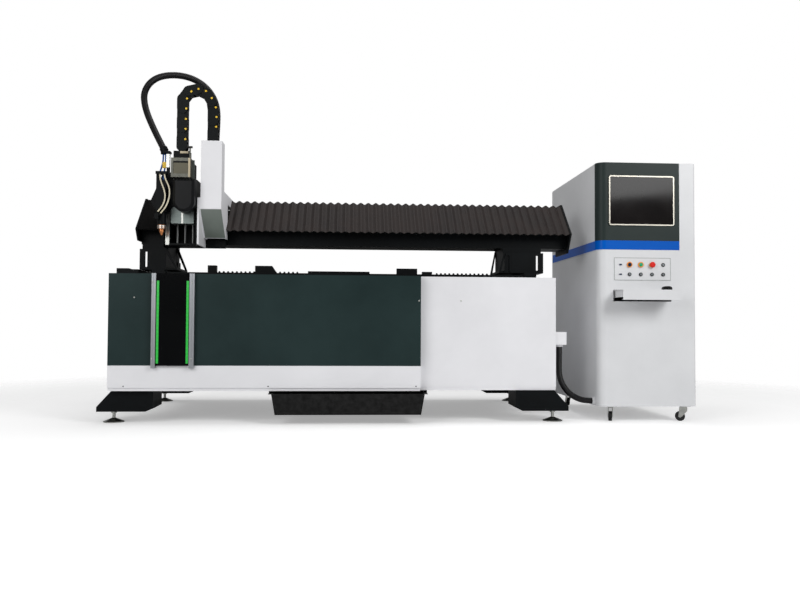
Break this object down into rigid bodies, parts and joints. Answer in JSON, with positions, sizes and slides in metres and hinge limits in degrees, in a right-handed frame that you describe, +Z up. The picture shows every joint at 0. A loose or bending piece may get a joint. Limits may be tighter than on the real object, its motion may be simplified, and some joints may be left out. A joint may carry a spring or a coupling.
{
  "type": "laser pipe cutting machine",
  "caption": "Gantry laser cutting machine: slatted bed with slag tray, bellows-covered beam, head on a vertical slide, and a separate control cabinet.",
  "frame": {"origin": "middle of the overall footprint, on the floor", "axes": "+X along the beam from the bed towards the cabinet, +Y from the operator's side to the back, +Z up"},
  "size_m": [3.889, 1.79, 2.2554],
  "materials": {
    "dark_paint": "satin powder coat",
    "white_paint": "smooth powder coat",
    "frame_paint": "black powder coat over welded steel",
    "blue_paint": "gloss powder coat",
    "black_paint": "black anodised and painted",
    "aluminium": "machined and anodised",
    "steel": "bare steel",
    "slat_steel": "mill steel, sooted by cutting",
    "tray_steel": "blackened sheet",
    "zinc": "bright zinc plate",
    "black_gloss": "black acrylic",
    "black_plastic": "moulded",
    "chain_plastic": "filled nylon",
    "led_green": "lit diffuser",
    "bellows_cloth": "coated cloth, welded pleats",
    "hose_rubber": "corrugated",
    "cream_tube": "polyurethane tube",
    "blue_tube": "polyurethane tube",
    "brass": "turned",
    "grey_plate": "plain overlay without words",
    "gear_paint": "painted housings",
    "knob_blue": "moulded",
    "green_cap": "moulded",
    "red_cap": "moulded",
    "grey_cap": "turned caps",
    "wheel_rubber": "moulded tread"
  },
  "bodies": {
    "machine": {"bed_frame": "frame_paint", "slats": "slat_steel", "front_dark_panel": "dark_paint", "front_kick_panel": "white_paint", "front_white_panel": "white_paint", "end_and_rear_panels": "white_paint", "window_trims": "aluminium", "window_pane": "black_gloss", "light_strips": "led_green", "levelling_feet": "zinc", "gantry_rails": "steel", "table_fittings": "frame_paint", "tray_runners": "frame_paint", "junction_box": "white_paint", "conduit": "hose_rubber", "cabinet_body": "white_paint", "cabinet_fascia": "dark_paint", "blue_band": "blue_paint", "monitor_frame": "aluminium", "monitor_screen": "black_gloss", "control_plate": "grey_plate", "cabinet_gear": "gear_paint", "rear_forks": "zinc"},
    "slag_tray": {"slag_tray": "tray_steel"},
    "gantry": {"gantry_beam": "frame_paint", "gantry_legs": "frame_paint", "gantry_end_plates": "frame_paint", "beam_rails": "steel", "left_bellows": "bellows_cloth", "right_bellows": "bellows_cloth"},
    "carriage": {"carriage_plate": "black_paint", "carriage_cover": "white_paint", "head_slide": "black_paint", "drag_chain": "chain_plastic", "main_hose": "hose_rubber"},
    "head": {"head_plate": "aluminium", "cutting_head": "black_paint", "nozzle": "brass", "drive_housing": "black_paint", "drive_block": "aluminium", "gas_hoses": "cream_tube", "head_cables": "blue_tube"},
    "ball_screw": {"ball_screw": "steel"},
    "selector_switch": {"selector_switch": "knob_blue"},
    "start_button": {"start_button": "green_cap"},
    "stop_button": {"stop_button": "red_cap"},
    "small_button_1": {"small_button_1": "grey_cap"},
    "small_button_2": {"small_button_2": "grey_cap"},
    "small_button_3": {"small_button_3": "grey_cap"},
    "small_button_4": {"small_button_4": "grey_cap"},
    "small_button_5": {"small_button_5": "grey_cap"},
    "mouse_shelf": {"mouse_shelf": "white_paint", "mouse": "black_plastic"},
    "rear_door": {"rear_door": "white_paint"},
    "front_left_fork": {"front_left_fork": "zinc"},
    "front_right_fork": {"front_right_fork": "zinc"},
    "front_left_wheel": {"front_left_wheel": "wheel_rubber"},
    "front_right_wheel": {"front_right_wheel": "wheel_rubber"},
    "rear_left_wheel": {"rear_left_wheel": "wheel_rubber"},
    "rear_right_wheel": {"rear_right_wheel": "wheel_rubber"}
  },
  "joints": [
    {"name": "tray_slide", "type": "slide", "parent": "machine", "child": "slag_tray", "axis": [0, -1, 0], "range_m": [0, 0.9]},
    {"name": "gantry_travel", "type": "slide", "parent": "machine", "child": "gantry", "axis": [0, 1, 0], "range_m": [0, 1]},
    {"name": "carriage_travel", "type": "slide", "parent": "gantry", "child": "carriage", "axis": [1, 0, 0], "range_m": [0, 1.7], "deforming": ["left_bellows", "right_bellows"]},
    {"name": "head_lift", "type": "slide", "parent": "carriage", "child": "head", "axis": [0, 0, 1], "range_m": [-0.12, 0.05], "deforming": ["drag_chain", "main_hose"]},
    {"name": "screw_turn", "type": "hinge", "parent": "carriage", "child": "ball_screw", "pos_m": [-1.4045, -0.705, 1.1443], "axis": [0, 0, 1], "range_deg": [-4330, 1810]},
    {"name": "selector_turn", "type": "hinge", "parent": "machine", "child": "selector_switch", "pos_m": [1.4955, -0.7273, 1.04], "axis": [0, -1, 0], "range_deg": [-45, 45]},
    {"name": "start_press", "type": "slide", "parent": "machine", "child": "start_button", "axis": [0, 1, 0], "range_m": [0, 0.003], "stiffness_N_per_m": 600},
    {"name": "stop_press", "type": "slide", "parent": "machine", "child": "stop_button", "axis": [0, 1, 0], "range_m": [0, 0.005]},
    {"name": "small_button_1_press", "type": "slide", "parent": "machine", "child": "small_button_1", "axis": [0, 1, 0], "range_m": [0, 0.0025], "stiffness_N_per_m": 400},
    {"name": "small_button_2_press", "type": "slide", "parent": "machine", "child": "small_button_2", "axis": [0, 1, 0], "range_m": [0, 0.0025], "stiffness_N_per_m": 400},
    {"name": "small_button_3_press", "type": "slide", "parent": "machine", "child": "small_button_3", "axis": [0, 1, 0], "range_m": [0, 0.0025], "stiffness_N_per_m": 400},
    {"name": "small_button_4_press", "type": "slide", "parent": "machine", "child": "small_button_4", "axis": [0, 1, 0], "range_m": [0, 0.0025], "stiffness_N_per_m": 400},
    {"name": "small_button_5_press", "type": "slide", "parent": "machine", "child": "small_button_5", "axis": [0, 1, 0], "range_m": [0, 0.0025], "stiffness_N_per_m": 400},
    {"name": "shelf_slide", "type": "slide", "parent": "machine", "child": "mouse_shelf", "axis": [0, -1, 0], "range_m": [-0.05, 0.12]},
    {"name": "door_hinge", "type": "hinge", "parent": "machine", "child": "rear_door", "pos_m": [1.2875, 0.4635, 0.9], "axis": [0, 0, 1], "range_deg": [0, 110]},
    {"name": "front_left_swivel", "type": "hinge", "parent": "machine", "child": "front_left_fork", "pos_m": [1.3895, -0.642, 0.09], "axis": [0, 0, 1], "continuous": true},
    {"name": "front_left_spin", "type": "hinge", "parent": "front_left_fork", "child": "front_left_wheel", "pos_m": [1.39519, -0.62075, 0.032], "axis": [0.9659, -0.2588, 0], "continuous": true},
    {"name": "front_right_swivel", "type": "hinge", "parent": "machine", "child": "front_right_fork", "pos_m": [1.8895, -0.642, 0.09], "axis": [0, 0, 1], "continuous": true},
    {"name": "front_right_spin", "type": "hinge", "parent": "front_right_fork", "child": "front_right_wheel", "pos_m": [1.86883, -0.63448, 0.032], "axis": [0.342, 0.9397, 0], "continuous": true},
    {"name": "rear_left_spin", "type": "hinge", "parent": "machine", "child": "rear_left_wheel", "pos_m": [1.3895, 0.39, 0.032], "axis": [1, 0, 0], "continuous": true},
    {"name": "rear_right_spin", "type": "hinge", "parent": "machine", "child": "rear_right_wheel", "pos_m": [1.8895, 0.39, 0.032], "axis": [1, 0, 0], "continuous": true}
  ],
  "couplings": [
    {"joint": "screw_turn", "follows": "head_lift", "rad_per_m": 628.32}
  ]
}
